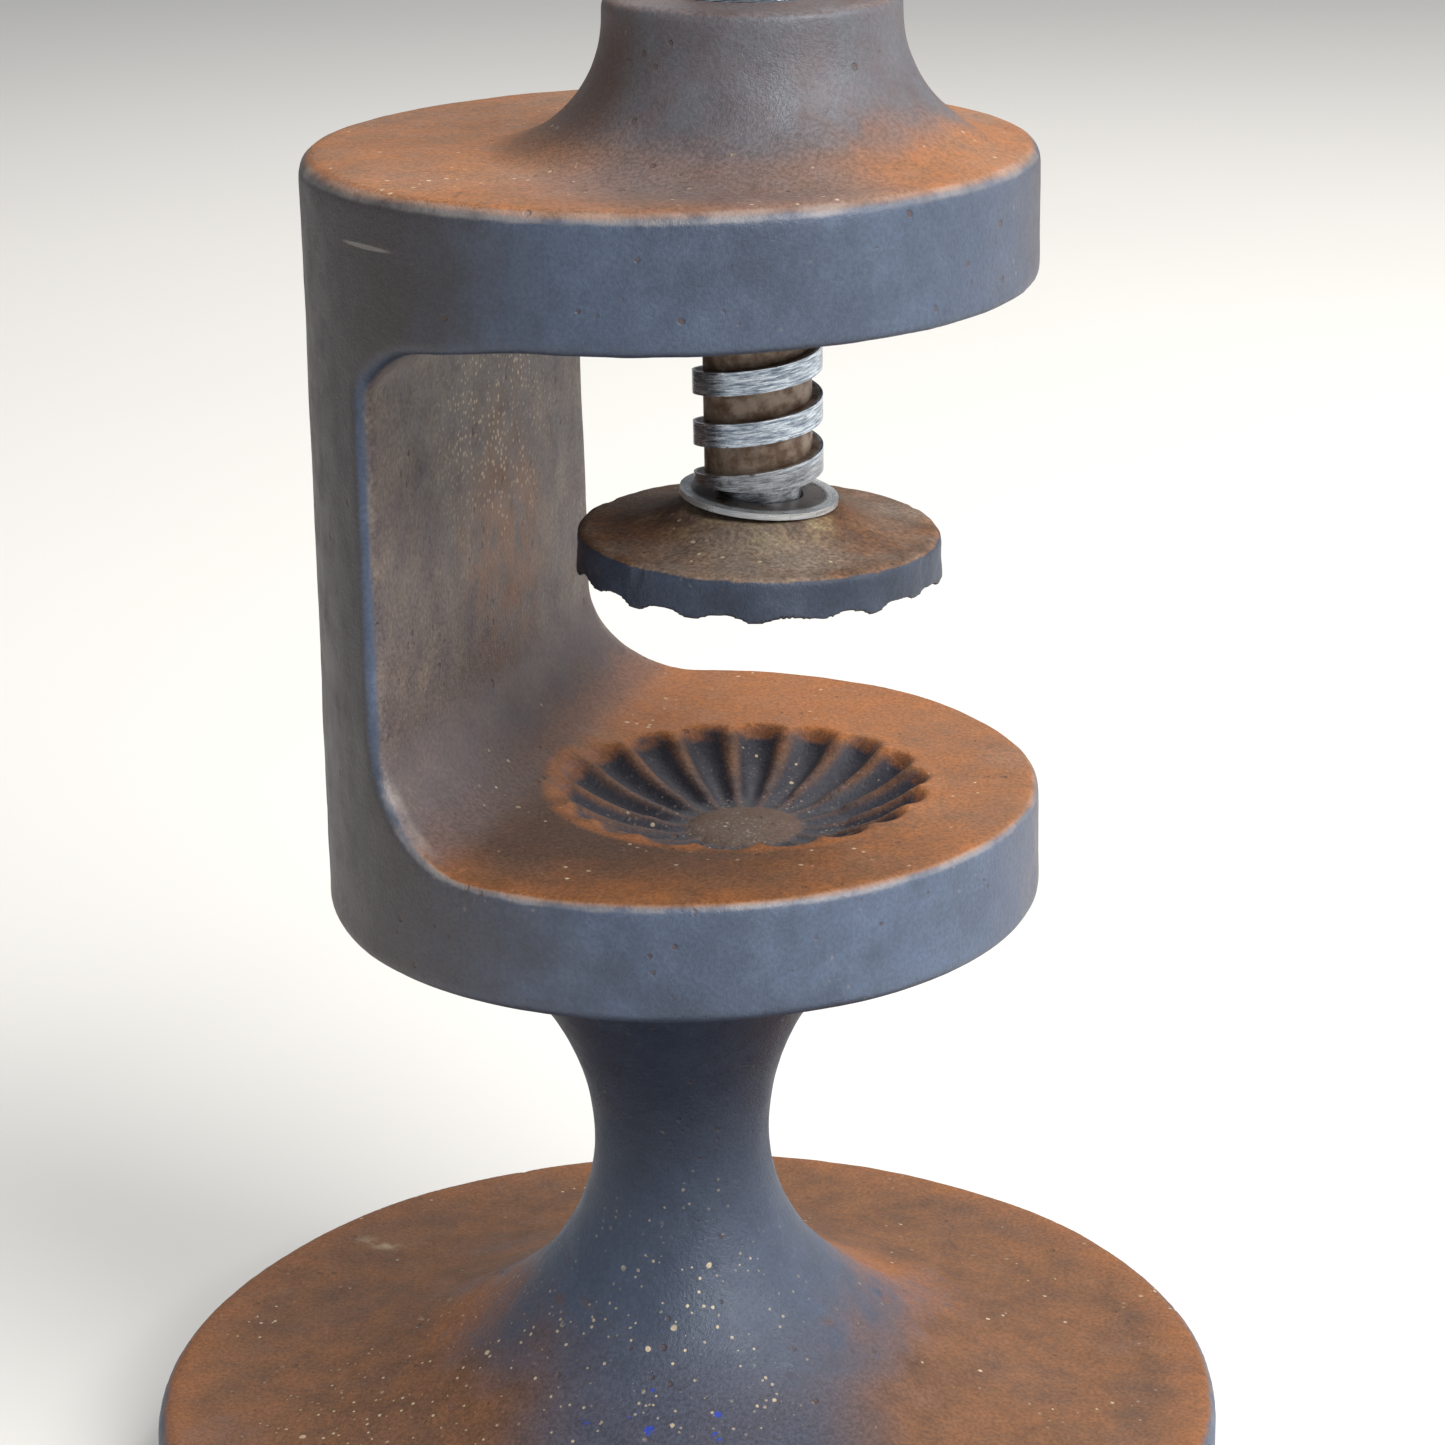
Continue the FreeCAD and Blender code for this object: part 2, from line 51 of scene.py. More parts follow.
base_thickness = 8.8 * MM
table_thickness = 12.2 * MM
mouth_height = 51.3 * MM
disc_thickness = 13.1 * MM
spine_thickness = 15.9 * MM
table_corner = 11.0 * MM
ceiling_corner = 7.5 * MM
thread_pitch = 5.08 * MM
last_turn_top = 113.5 * MM
cup_x = 7.4 * MM
cup_radius = 18.9 * MM
button_radius = 5.1 * MM
flute_count = 18
flute_start = math.radians(3)

# ---------------------------------------------------------------- places worked out from the frame's boxes

pedestal_low, pedestal_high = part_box("pedestal")
frame_low, frame_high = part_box("press_frame")
screw_low, screw_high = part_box("pressure_screw")
pad_low, pad_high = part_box("pressure_pad")

base_radius = pedestal_high.x
base_top = pedestal_low.z + base_thickness
stem_top = pedestal_high.z
frame_x = (frame_low.x + frame_high.x) / 2
frame_radius = (frame_high.x - frame_low.x) / 2
table_top = stem_top + table_thickness
ceiling = table_top + mouth_height
disc_top = ceiling + disc_thickness
boss_top = frame_high.z
wall_x = frame_low.x + spine_thickness
screw_x = (screw_low.x + screw_high.x) / 2
thread_radius = (screw_high.y - screw_low.y) / 2
pit_place = Vector((wall_x, -frame_radius * 0.83, ceiling - 6 * MM))


# ---------------------------------------------------------------- small helpers

def srgb(red, green, blue):
    """Linear colour from the 0 to 255 values of a paint chart."""
    def linear(value):
        share = value / 255
        return share / 12.92 if share <= 0.04045 else ((share + 0.055) / 1.055) ** 2.4
    return (linear(red), linear(green), linear(blue), 1.0)


def fade(value, low, high):
    """Smooth step from 0 at low to 1 at high."""
    share = min(max((value - low) / (high - low), 0.0), 1.0)
    return share * share * (3 - 2 * share)


def lumps(point, size, seed):
    """Smooth noise from about -1 to 1, with lumps of that size."""
    return noise.noise(point / size + Vector((seed, seed * 1.7, -seed)))


def uneven(point, *layers):
    """Sum of layers of lumps. A layer is its height, the size of its lumps and a seed."""
    return sum(height * lumps(point, size, seed) for height, size, seed in layers)


# ---------------------------------------------------------------- materials

class Shade:
    """Builds one node material, a value or a colour at a time."""

    def __init__(self, name):
        self.material = bpy.data.materials.new(name)
        self.material.use_nodes = True
        self.tree = self.material.node_tree
        self.tree.nodes.clear()
        coordinates = self.tree.nodes.new("ShaderNodeTexCoord")
        self.place = coordinates.outputs["Object"]
        self.facing = coordinates.outputs["Normal"]
        self.x, self.y, self.z = self.split(self.place)
        self.facing_x, self.facing_y, self.facing_z = self.split(self.facing)

    def fill(self, socket, value):
        if isinstance(value, bpy.types.NodeSocket):
            self.tree.links.new(value, socket)
        else:
            socket.default_value = value

    def split(self, vector):
        node = self.tree.nodes.new("ShaderNodeSeparateXYZ")
        self.fill(node.inputs[0], vector)
        return node.outputs[0], node.outputs[1], node.outputs[2]

    def join(self, x, y, z):
        node = self.tree.nodes.new("ShaderNodeCombineXYZ")
        for socket, value in zip(node.inputs, (x, y, z)):
            self.fill(socket, value)
        return node.outputs[0]

    def sum(self, operation, first, second=0.0):
        node = self.tree.nodes.new("ShaderNodeMath")
        node.operation = operation
        self.fill(node.inputs[0], first)
        self.fill(node.inputs[1], second)
        return node.outputs[0]

    def add(self, first, second):
        return self.sum("ADD", first, second)

    def times(self, first, *others):
        for other in others:
            first = self.sum("MULTIPLY", first, other)
        return first

    def most(self, first, *others):
        for other in others:
            first = self.sum("MAXIMUM", first, other)
        return first

    def ramp(self, value, low, high, start=0.0, end=1.0):
        node = self.tree.nodes.new("ShaderNodeMapRange")
        node.interpolation_type = "SMOOTHSTEP"
        for name, setting in (
            ("Value", value), ("From Min", low), ("From Max", high), ("To Min", start), ("To Max", end),
        ):
            self.fill(node.inputs[name], setting)
        return node.outputs["Result"]

    def band(self, value, low, high, soft):
        """1 between low and high, fading out over soft."""
        return self.times(self.ramp(value, low - soft, low), self.ramp(value, high + soft, high))

    def noise(self, size, detail=3.0, rough=0.55, place=None, warp=0.0):
        """Noise from 0 to 1 with lumps of that size."""
        node = self.tree.nodes.new("ShaderNodeTexNoise")
        self.fill(node.inputs["Vector"], place or self.place)
        node.inputs["Scale"].default_value = 1 / size
        node.inputs["Detail"].default_value = detail
        node.inputs["Roughness"].default_value = rough
        node.inputs["Distortion"].default_value = warp
        return node.outputs[0]

    def specks(self, spacing, low, high):
        """Small specks of many sizes: 1 in the middle of each, on cells of that spacing."""
        node = self.tree.nodes.new("ShaderNodeTexVoronoi")
        self.fill(node.inputs["Vector"], self.place)
        node.inputs["Scale"].default_value = 1 / spacing
        size, _, _ = self.split(node.outputs["Color"])
        distance = self.add(node.outputs["Distance"], self.ramp(size, 0.2, 1.0, 0.16, -0.08))
        ragged = self.add(distance, self.times(self.noise(spacing / 4, 1.0), 0.16))
        return self.ramp(ragged, high + 0.1, low + 0.1)

    def near(self, centre, inner, outer, stretch=(1, 1, 1)):
        """1 within inner of a point, fading to 0 at outer. stretch widens it along an axis."""
        offset = self.tree.nodes.new("ShaderNodeVectorMath")
        offset.operation = "SUBTRACT"
        self.fill(offset.inputs[0], self.place)
        offset.inputs[1].default_value = centre
        scaled = self.tree.nodes.new("ShaderNodeVectorMath")
        scaled.operation = "DIVIDE"
        self.fill(scaled.inputs[0], offset.outputs[0])
        scaled.inputs[1].default_value = stretch
        length = self.tree.nodes.new("ShaderNodeVectorMath")
        length.operation = "LENGTH"
        self.fill(length.inputs[0], scaled.outputs[0])
        return self.ramp(length.outputs["Value"], outer, inner)

    def from_axis(self, axis_x):
        """Distance from an upright axis, and the angle about it."""
        across = self.sum("SUBTRACT", self.x, axis_x)
        square = self.add(self.times(across, across), self.times(self.y, self.y))
        return self.sum("SQRT", square), self.sum("ARCTAN2", self.y, across)

    def mix(self, share, first, second):
        node = self.tree.nodes.new("ShaderNodeMix")
        node.data_type = "RGBA"
        self.fill(node.inputs[0], share)
        self.fill(node.inputs[6], first)
        self.fill(node.inputs[7], second)
        return node.outputs[2]

    def coat(self, under, over, share, strength):
        """One colour over another, where share is 1 as strongly as strength says."""
        return self.mix(self.times(share, strength), under, over)

    def tone(self, colour, factor):
        """colour made lighter or darker by a value that varies over the surface."""
        node = self.tree.nodes.new("ShaderNodeVectorMath")
        node.operation = "SCALE"
        self.fill(node.inputs[0], colour)
        self.fill(node.inputs["Scale"], factor)
        return node.outputs[0]

    def edges(self, low, high):
        """Worn raised edges, from the mesh's own curvature."""
        node = self.tree.nodes.new("ShaderNodeNewGeometry")
        return self.ramp(node.outputs["Pointiness"], low, high)

    def bump(self, height, depth, before=None):
        node = self.tree.nodes.new("ShaderNodeBump")
        node.inputs["Strength"].default_value = 1.0
        node.inputs["Distance"].default_value = depth
        self.fill(node.inputs["Height"], height)
        if before is not None:
            self.fill(node.inputs["Normal"], before)
        return node.outputs[0]

    def finish(self, colour, roughness, metallic=0.0, normal=None, specular=0.5):
        shader = self.tree.nodes.new("ShaderNodeBsdfPrincipled")
        output = self.tree.nodes.new("ShaderNodeOutputMaterial")
        self.fill(shader.inputs["Base Color"], colour)
        self.fill(shader.inputs["Roughness"], roughness)
        self.fill(shader.inputs["Metallic"], metallic)
        shader.inputs["Specular IOR Level"].default_value = specular
        if normal is not None:
            self.fill(shader.inputs["Normal"], normal)
        self.tree.links.new(shader.outputs[0], output.inputs[0])
        return self.material


slate_dark = srgb(62, 72, 90)
slate_mid = srgb(84, 98, 122)
slate_light = srgb(106, 122, 148)
# Deep slate: a colour of the pad's sides, and painted shade on the frame's undersides and the stem's top.
deep_slate_and_shade = srgb(34, 42, 58)
neutral_grey = srgb(96, 98, 104)
brown_grey = srgb(84, 72, 66)
# Dark brown used as painted shade on the table under the upper disc.
painted_shade_brown = srgb(60, 49, 45)
# Brown of the spine, made darker as painted shade on its faces turned to -X.
spine_brown_and_shade = srgb(72, 65, 63)
plum_grey = srgb(92, 82, 84)
# Light grey used as painted light on the front of the pad's top.
sand_grey = srgb(126, 112, 100)
rust_brown = srgb(128, 84, 50)
rust_dark = srgb(80, 56, 42)
rust_orange = srgb(160, 98, 48)
dust_cream = srgb(206, 190, 160)
# Light worn line: wear on edges, and painted highlight on the frame's near rims.
worn_line_and_highlight = srgb(168, 160, 154)
# Charcoal: dark iron with painted shade in the cup's flutes, and painted shade under the pad.
charcoal_and_shade = srgb(44, 45, 56)
rust_red = srgb(120, 62, 50)
painted_light_grey = srgb(140, 132, 122)
dust_olive = srgb(176, 168, 132)
paint_blue = srgb(36, 62, 170)
crest_light = srgb(214, 224, 234)
crest_dark = srgb(98, 112, 130)
crest_worn = srgb(112, 104, 98)
fleck_brown = srgb(52, 46, 44)
root_light = srgb(140, 124, 110)
root_dark = srgb(92, 70, 54)
stain_brown = srgb(104, 84, 68)
edge_white = srgb(226, 226, 222)
rim_light = srgb(226, 230, 232)
rim_dark = srgb(172, 178, 184)
washer_light = srgb(128, 124, 122)
washer_dark = srgb(72, 62, 56)
steel_light = srgb(222, 226, 230)
steel_mid = srgb(168, 172, 178)
steel_dark = srgb(112, 112, 112)
felt_dark = srgb(34, 58, 44)
felt_light = srgb(58, 88, 68)
felt_worn = srgb(84, 84, 70)
floor_dark = srgb(222, 222, 220)
floor_light = srgb(228, 228, 226)


def sand_cast(shade, colour, upward, depth=1.0):
    """Skin of a sand casting: fine grain, faint mottling, pits and dust, then bump and gloss."""
    grain = shade.noise(0.42 * MM, 3.0, 0.6)
    mottle = shade.noise(3.2 * MM, 4.0, 0.6)
    least = shade.ramp(upward, 0.0, 1.0, 0.88, 0.76)
    most = shade.ramp(upward, 0.0, 1.0, 1.12, 1.24)
    colour = shade.tone(colour, shade.ramp(grain, 0.3, 0.7, least, most))
    colour = shade.tone(colour, shade.ramp(mottle, 0.25, 0.75, 0.92, 1.08))
    pits = shade.times(shade.specks(1.7 * MM, 0.06, 0.17), shade.ramp(shade.noise(6 * MM), 0.48, 0.62))
    colour = shade.coat(colour, rust_dark, pits, 0.55)
    fine_dust = shade.times(shade.specks(1.25 * MM, 0.05, 0.13), shade.ramp(shade.noise(9 * MM), 0.50, 0.64))
    dust = shade.times(fine_dust, shade.ramp(upward, 0.1, 0.8, 0.12, 0.75))
    colour = shade.mix(dust, colour, dust_cream)
    height = shade.add(shade.times(grain, 0.5), shade.times(shade.noise(0.16 * MM, 2.0), 0.25))
    normal = shade.bump(height, 0.17 * MM * depth)
    normal = shade.bump(shade.sum("SUBTRACT", shade.times(mottle, 0.8), pits), 0.10 * MM * depth, normal)
    roughness = shade.ramp(shade.add(mottle, shade.times(upward, 0.35)), 0.3, 1.0, 0.44, 0.70)
    return colour, roughness, normal


def slate_side(shade, cloud, fine, glint):
    """Blue-grey of an upright face, clouded, with lighter patches as strong as glint."""
    side = shade.mix(shade.ramp(cloud, 0.2, 0.85), slate_dark, slate_mid)
    return shade.mix(shade.times(shade.ramp(fine, 0.35, 0.9), glint), side, slate_light)


def worn_edges(shade, fine):
    """Raised edges rubbed bare in patches."""
    return shade.times(shade.edges(0.52, 0.58), shade.ramp(fine, 0.3, 0.6, 0.3, 0.9))


def turned_rings(shade, axis_x, spacing):
    """Distance from an upright axis, and the fine rings that a lathe leaves about it."""
    reach, angle = shade.from_axis(axis_x)
    return reach, shade.noise(spacing, 3.0, 0.6, shade.join(reach, shade.z, shade.times(angle, 0.25 * MM)))


def frame_side(shade, cloud, fine):
    """Upright faces: slate with painted light on faces turned to +X, plum on the far side, brown on the
    spine darkened as painted shade, and darker higher up.
    """
    side = slate_side(shade, cloud, fine, 0.35)
    # Painted light: faces turned towards +X are coated a lighter slate.
    sunlit = shade.ramp(shade.facing_x, 0.3, 0.95)
    side = shade.coat(side, slate_light, sunlit, 0.2)
    far_side = shade.times(shade.ramp(shade.facing_y, -0.4, 0.3), shade.ramp(fine, 0.2, 0.7, 0.5, 1.0))
    side = shade.coat(side, plum_grey, far_side, 0.8)
    # Brown of the spine, darkened as painted shade on the faces turned to -X.
    spine = shade.ramp(shade.add(shade.facing_x, shade.times(cloud, 0.4)), 0.35, -0.35)
    side = shade.coat(side, spine_brown_and_shade, spine, 0.9)
    return shade.tone(side, shade.ramp(shade.z, table_top, ceiling, 1.0, 0.80))


def frame_top(shade, cloud, fine):
    """Upward faces: rust, with painted shade over the table under the disc, strongest at its left front, and
    warmer and greyed parts.
    """
    top = shade.mix(shade.ramp(fine, 0.2, 0.85), rust_brown, rust_orange)
    top = shade.coat(top, sand_grey, shade.ramp(cloud, 0.4, 0.8), 0.35)
    on_table = shade.ramp(shade.z, ceiling, table_top)
    # Painted shade: the table under the upper disc is darkened, most at its left front.
    shaded = shade.near((-6 * MM, -16 * MM, table_top), 6 * MM, 24 * MM, (1.6, 1.0, 1.0))
    shaded = shade.times(on_table, shade.add(shade.times(shaded, 0.75), 0.12))
    top = shade.mix(shaded, top, painted_shade_brown)
    warm_back = shade.near((-5 * MM, 24 * MM, table_top), 6 * MM, 22 * MM, (1.4, 1.0, 1.0))
    warm_back = shade.times(on_table, warm_back)
    top = shade.coat(top, rust_orange, warm_back, 0.6)
    greyed = shade.near((screw_x + 3 * MM, -22 * MM, disc_top), 5 * MM, 19 * MM, (1.3, 0.8, 1.0))
    greyed = shade.times(greyed, shade.ramp(fine, 0.2, 0.7, 0.6, 1.0))
    return shade.coat(top, neutral_grey, greyed, 0.75)


def boss_colour(shade, colour, cloud, fine):
    """Adds the grey boss, which is browner on its left."""
    reach, _ = shade.from_axis(screw_x)
    on_boss = shade.times(
        shade.ramp(shade.z, disc_top + 0.2 * MM, disc_top + 3 * MM),
        shade.ramp(shade.add(reach, shade.times(cloud, 8 * MM)), 27 * MM, 20 * MM),
    )
    boss = shade.mix(shade.ramp(fine, 0.25, 0.8), neutral_grey, plum_grey)
    colour = shade.coat(colour, boss, on_boss, 0.9)
    boss_left = shade.near((-6 * MM, -7 * MM, disc_top + 6 * MM), 6 * MM, 14 * MM)
    return shade.coat(colour, rust_dark, boss_left, 0.7)


def mouth_colour(shade, colour, fine):
    """Adds the mouth's wall and lower corner, with a rusty patch and tan crumbs above it."""
    in_mouth = shade.band(shade.z, table_top + 1 * MM, ceiling - 1 * MM, 2 * MM)
    on_wall = shade.times(in_mouth, shade.ramp(shade.x, wall_x + 6 * MM, wall_x + 1 * MM))
    on_wall = shade.times(on_wall, shade.ramp(shade.facing_x, 0.3, 0.8))
    wall = shade.mix(shade.ramp(fine, 0.25, 0.8), plum_grey, sand_grey)
    wall = shade.tone(wall, shade.ramp(shade.noise(0.5 * MM, 3.0, 0.7), 0.3, 0.7, 0.58, 1.12))
    rust_patch = shade.near((wall_x, 4 * MM, table_top + 23 * MM), 4 * MM, 17 * MM, (1.0, 0.9, 1.2))
    wall = shade.coat(wall, rust_brown, shade.times(rust_patch, shade.ramp(fine, 0.3, 0.6)), 0.8)
    colour = shade.coat(colour, wall, on_wall, 0.9)
    tan = shade.near((wall_x, 3 * MM, table_top + 37 * MM), 6 * MM, 20 * MM)
    tan = shade.times(tan, on_wall, shade.specks(0.7 * MM, 0.12, 0.34), shade.ramp(fine, 0.35, 0.55))
    colour = shade.coat(colour, dust_cream, tan, 0.7)
    fillet = shade.times(
        shade.band(shade.z, table_top + 1.5 * MM, table_top + 8 * MM, 4 * MM),
        shade.ramp(shade.x, wall_x + 11 * MM, wall_x + 6 * MM),
        shade.ramp(shade.facing_x, 0.1, 0.5),
    )
    return shade.coat(colour, plum_grey, fillet, 0.6)


def cup_colour(shade, colour, fine):
    """Adds the cup: rusty ridges between dark flutes whose charcoal is partly painted shade in the grooves,
    a brown button and a rusty rim.
    """
    reach, angle = shade.from_axis(cup_x)
    below_table = shade.ramp(shade.z, table_top - 0.15 * MM, table_top - 0.9 * MM)
    in_cup = shade.times(below_table, shade.ramp(reach, cup_radius + 0.5 * MM, cup_radius - 0.8 * MM))
    in_cup = shade.times(in_cup, shade.ramp(shade.z, stem_top, stem_top + 3 * MM))
    waves = shade.sum("COSINE", shade.times(shade.sum("SUBTRACT", angle, flute_start), flute_count))
    ridge = shade.ramp(shade.add(waves, shade.times(fine, 0.9)), 0.35, -0.55)
    outward = shade.ramp(reach, 7 * MM, 16 * MM, 0.25, 0.75)
    ridge_rust = shade.mix(shade.ramp(fine, 0.3, 0.7), rust_dark, rust_brown)
    # The charcoal in the flutes is partly the iron's dark colour and partly painted shade in the grooves.
    cup = shade.mix(shade.times(ridge, outward), charcoal_and_shade, ridge_rust)
    on_button = shade.ramp(reach, button_radius + 1.4 * MM, button_radius + 0.2 * MM)
    button = shade.mix(shade.ramp(fine, 0.2, 0.8), rust_dark, brown_grey)
    cup = shade.mix(on_button, cup, button)
    crumbs = shade.times(shade.specks(0.5 * MM, 0.16, 0.32), shade.ramp(fine, 0.35, 0.6))
    crumbs = shade.times(crumbs, shade.ramp(reach, 16 * MM, 6 * MM, 0.3, 1.0))
    cup = shade.coat(cup, sand_grey, crumbs, 0.8)
    colour = shade.mix(in_cup, colour, cup)
    rim = shade.times(
        shade.band(reach, cup_radius - 0.9 * MM, cup_radius + 0.6 * MM, 1.2 * MM),
        shade.band(shade.z, table_top - 1.2 * MM, table_top + 1 * MM, 0.5 * MM),
        shade.ramp(fine, 0.3, 0.55),
    )
    return shade.coat(colour, rust_orange, rim, 0.55)


def frame_marks(shade, colour, fine):
    """Adds the rubbed upper edges, lighter on the near side as painted highlight, a scratch on the disc, a
    painted highlight on a facet by the mouth and the pit's rust.
    """
    reach, _ = shade.from_axis(frame_x)
    # Worn rims, made stronger on faces turned to -Y as painted highlight.
    worn = shade.times(
        shade.band(shade.facing_z, 0.45, 0.75, 0.22),
        shade.ramp(reach, frame_radius - 3.0 * MM, frame_radius - 1.6 * MM),
        shade.ramp(fine, 0.3, 0.65, 0.15, 0.85),
        shade.ramp(shade.facing_y, 0.5, -0.1, 0.3, 1.0),
    )
    colour = shade.coat(colour, worn_line_and_highlight, worn, 0.5)
    scratch = shade.near((-18 * MM, -30 * MM, disc_top - 5.2 * MM), 0.6 * MM, 1.0 * MM, (4.5, 4.5, 0.28))
    colour = shade.coat(colour, worn_line_and_highlight, scratch, 0.4)
    # Painted highlight: a lighter slate facet on the spine's near edge by the mouth.
    facet_highlight_place = (wall_x + 0.6 * MM, -30 * MM, ceiling - 10.5 * MM)
    facet_highlight = shade.near(facet_highlight_place, 1.2 * MM, 4.5 * MM, (0.4, 0.4, 1.2))
    colour = shade.coat(colour, slate_light, facet_highlight, 0.6)
    blemish = shade.near(pit_place, 0.3 * MM, 1.1 * MM)
    return shade.coat(colour, rust_red, blemish, 0.8)


def make_frame_iron():
    shade = Shade("press_frame_iron")
    cloud = shade.noise(14 * MM, 4.0, 0.55)
    fine = shade.noise(4.5 * MM, 4.0, 0.6)
    ragged = shade.add(shade.times(cloud, 0.5), shade.times(fine, 0.3))
    upward = shade.ramp(shade.add(shade.facing_z, ragged), 0.85, 1.25)
    painted_underside_shade = shade.ramp(shade.facing_z, -0.3, -0.8)
    side = frame_side(shade, cloud, fine)
    top = frame_top(shade, cloud, fine)
    colour = shade.mix(upward, side, top)
    # Painted shade: faces turned downwards are darkened with deep slate.
    colour = shade.coat(colour, deep_slate_and_shade, painted_underside_shade, 0.7)
    colour = boss_colour(shade, colour, cloud, fine)
    colour = mouth_colour(shade, colour, fine)
    colour = cup_colour(shade, colour, fine)
    colour, roughness, normal = sand_cast(shade, colour, upward)
    colour = frame_marks(shade, colour, fine)
    return shade.finish(colour, roughness, 0.15, normal, 0.45)


def pedestal_marks(shade, colour, fine, reach):
    """Adds pale grit, spots of blue paint, a scuff at the back and the rubbed upper edge."""
    dusty = shade.most(
        shade.near((-18 * MM, -22 * MM, base_top + 5 * MM), 8 * MM, 32 * MM),
        shade.near((6 * MM, -15 * MM, base_top + 16 * MM), 5 * MM, 18 * MM),
    )
    grit = shade.most(shade.specks(2.1 * MM, 0.04, 0.09), shade.specks(0.8 * MM, 0.09, 0.17))
    grit = shade.times(grit, dusty, shade.ramp(fine, 0.42, 0.56))
    colour = shade.coat(colour, dust_cream, grit, 0.85)
    paint = shade.near((3 * MM, -22 * MM, base_top + 7.5 * MM), 5 * MM, 9 * MM, (1.6, 0.7, 1))
    paint = shade.times(paint, shade.specks(2.2 * MM, 0.12, 0.20), shade.ramp(fine, 0.44, 0.50))
    colour = shade.coat(colour, paint_blue, paint, 0.9)
    scuff = shade.near((-43.5 * MM, 19.5 * MM, base_top), 0.6 * MM, 2.2 * MM, (2.0, 1.0, 1.0))
    scuff = shade.times(scuff, shade.ramp(fine, 0.35, 0.6))
    colour = shade.coat(colour, dust_cream, scuff, 0.5)
    worn = shade.times(
        shade.band(shade.facing_z, 0.45, 0.75, 0.22),
        shade.ramp(reach, base_radius - 2.4 * MM, base_radius - 1.2 * MM),
        shade.ramp(fine, 0.3, 0.65, 0.1, 0.8),
    )
    return shade.coat(colour, sand_grey, worn, 0.45)


def make_pedestal_iron():
    shade = Shade("pedestal_iron")
    cloud = shade.noise(15 * MM, 4.0, 0.55)
    fine = shade.noise(4.5 * MM, 4.0, 0.6)
    reach, _ = shade.from_axis(0.0)
    ragged = shade.add(shade.times(cloud, 0.6), shade.times(fine, 0.25))
    upward = shade.ramp(shade.add(shade.facing_z, ragged), 1.02, 1.38)
    front = shade.near((9 * MM, -26 * MM, base_top + 7 * MM), 12 * MM, 27 * MM, (0.9, 1.2, 1.0))
    front = shade.times(front, shade.ramp(cloud, 0.25, 0.6, 0.7, 1.0))

    side = slate_side(shade, cloud, fine, 0.25)
    # Painted shadow of the frame: the stem grows darker in deep slate towards its top.
    high = shade.ramp(shade.z, 16 * MM, 52 * MM)
    side = shade.coat(side, deep_slate_and_shade, high, 0.85)
    top = shade.mix(shade.ramp(fine, 0.1, 1.0), rust_brown, rust_dark)
    warm = shade.most(
        shade.near((-20 * MM, -4 * MM, base_top + 9 * MM), 3 * MM, 12 * MM),
        shade.near((15 * MM, 16 * MM, base_top + 8 * MM), 4 * MM, 14 * MM),
        shade.times(shade.ramp(reach, base_radius - 7 * MM, base_radius - 1 * MM), 0.6),
    )
    top = shade.coat(top, rust_orange, warm, 0.55)
    top = shade.coat(top, plum_grey, shade.ramp(cloud, 0.4, 0.9), 0.2)
    colour = shade.mix(upward, side, top)
    colour = shade.coat(colour, slate_dark, front, 0.9)

    colour, roughness, normal = sand_cast(shade, colour, upward)
    colour = pedestal_marks(shade, colour, fine, reach)
    return shade.finish(colour, roughness, 0.15, normal, 0.45)


def make_pad_iron():
    shade = Shade("pressure_pad_iron")
    cloud = shade.noise(8 * MM, 4.0, 0.55)
    fine = shade.noise(2.6 * MM, 4.0, 0.6)
    reach, _ = shade.from_axis(screw_x)
    upward = shade.ramp(shade.add(shade.facing_z, shade.times(fine, 0.5)), 0.75, 1.05)
    side = shade.mix(shade.ramp(cloud, 0.2, 0.8), deep_slate_and_shade, slate_dark)
    top = shade.mix(shade.ramp(fine, 0.2, 0.85), rust_dark, rust_brown)
    top = shade.coat(top, sand_grey, shade.ramp(cloud, 0.3, 0.75), 0.75)
    # Painted light: a lighter grey pool on the front of the pad's top.
    lit_front = shade.near((screw_x + 3 * MM, -12 * MM, pad_high.z - 2 * MM), 2 * MM, 12 * MM)
    top = shade.coat(top, painted_light_grey, lit_front, 0.55)
    pale = shade.times(
        shade.ramp(shade.add(reach, shade.times(cloud, 6 * MM)), 16 * MM, 10 * MM),
        shade.ramp(fine, 0.42, 0.75),
        shade.ramp(shade.y, 2 * MM, -5 * MM),
    )
    top = shade.coat(top, dust_olive, pale, 0.55)
    top = shade.tone(top, shade.ramp(shade.noise(0.5 * MM, 3.0, 0.7), 0.3, 0.7, 0.75, 1.3))
    colour = shade.mix(upward, side, top)
    under = shade.ramp(shade.facing_z, -0.2, -0.7)
    # Painted shade: the pad's downward faces are darkened with charcoal.
    colour = shade.coat(colour, charcoal_and_shade, under, 0.8)
    colour, roughness, normal = sand_cast(shade, colour, upward, 1.3)
    colour = shade.coat(colour, plum_grey, worn_edges(shade, fine), 0.5)
    return shade.finish(colour, roughness, 0.15, normal, 0.45)


def make_handle_iron():
    shade = Shade("handle_iron")
    cloud = shade.noise(12 * MM, 4.0, 0.55)
    fine = shade.noise(4 * MM, 4.0, 0.6)
    upward = shade.ramp(shade.add(shade.facing_z, shade.times(cloud, 0.6)), 0.9, 1.3)
    side = shade.mix(shade.ramp(cloud, 0.35, 0.7), slate_dark, slate_mid)
    top = shade.mix(shade.ramp(fine, 0.35, 0.7), rust_brown, plum_grey)
    colour = shade.coat(side, top, upward, 0.8)
    colour, roughness, normal = sand_cast(shade, colour, upward)
    colour = shade.coat(colour, worn_line_and_highlight, worn_edges(shade, fine), 0.6)
    return shade.finish(colour, roughness, 0.2, normal, 0.5)


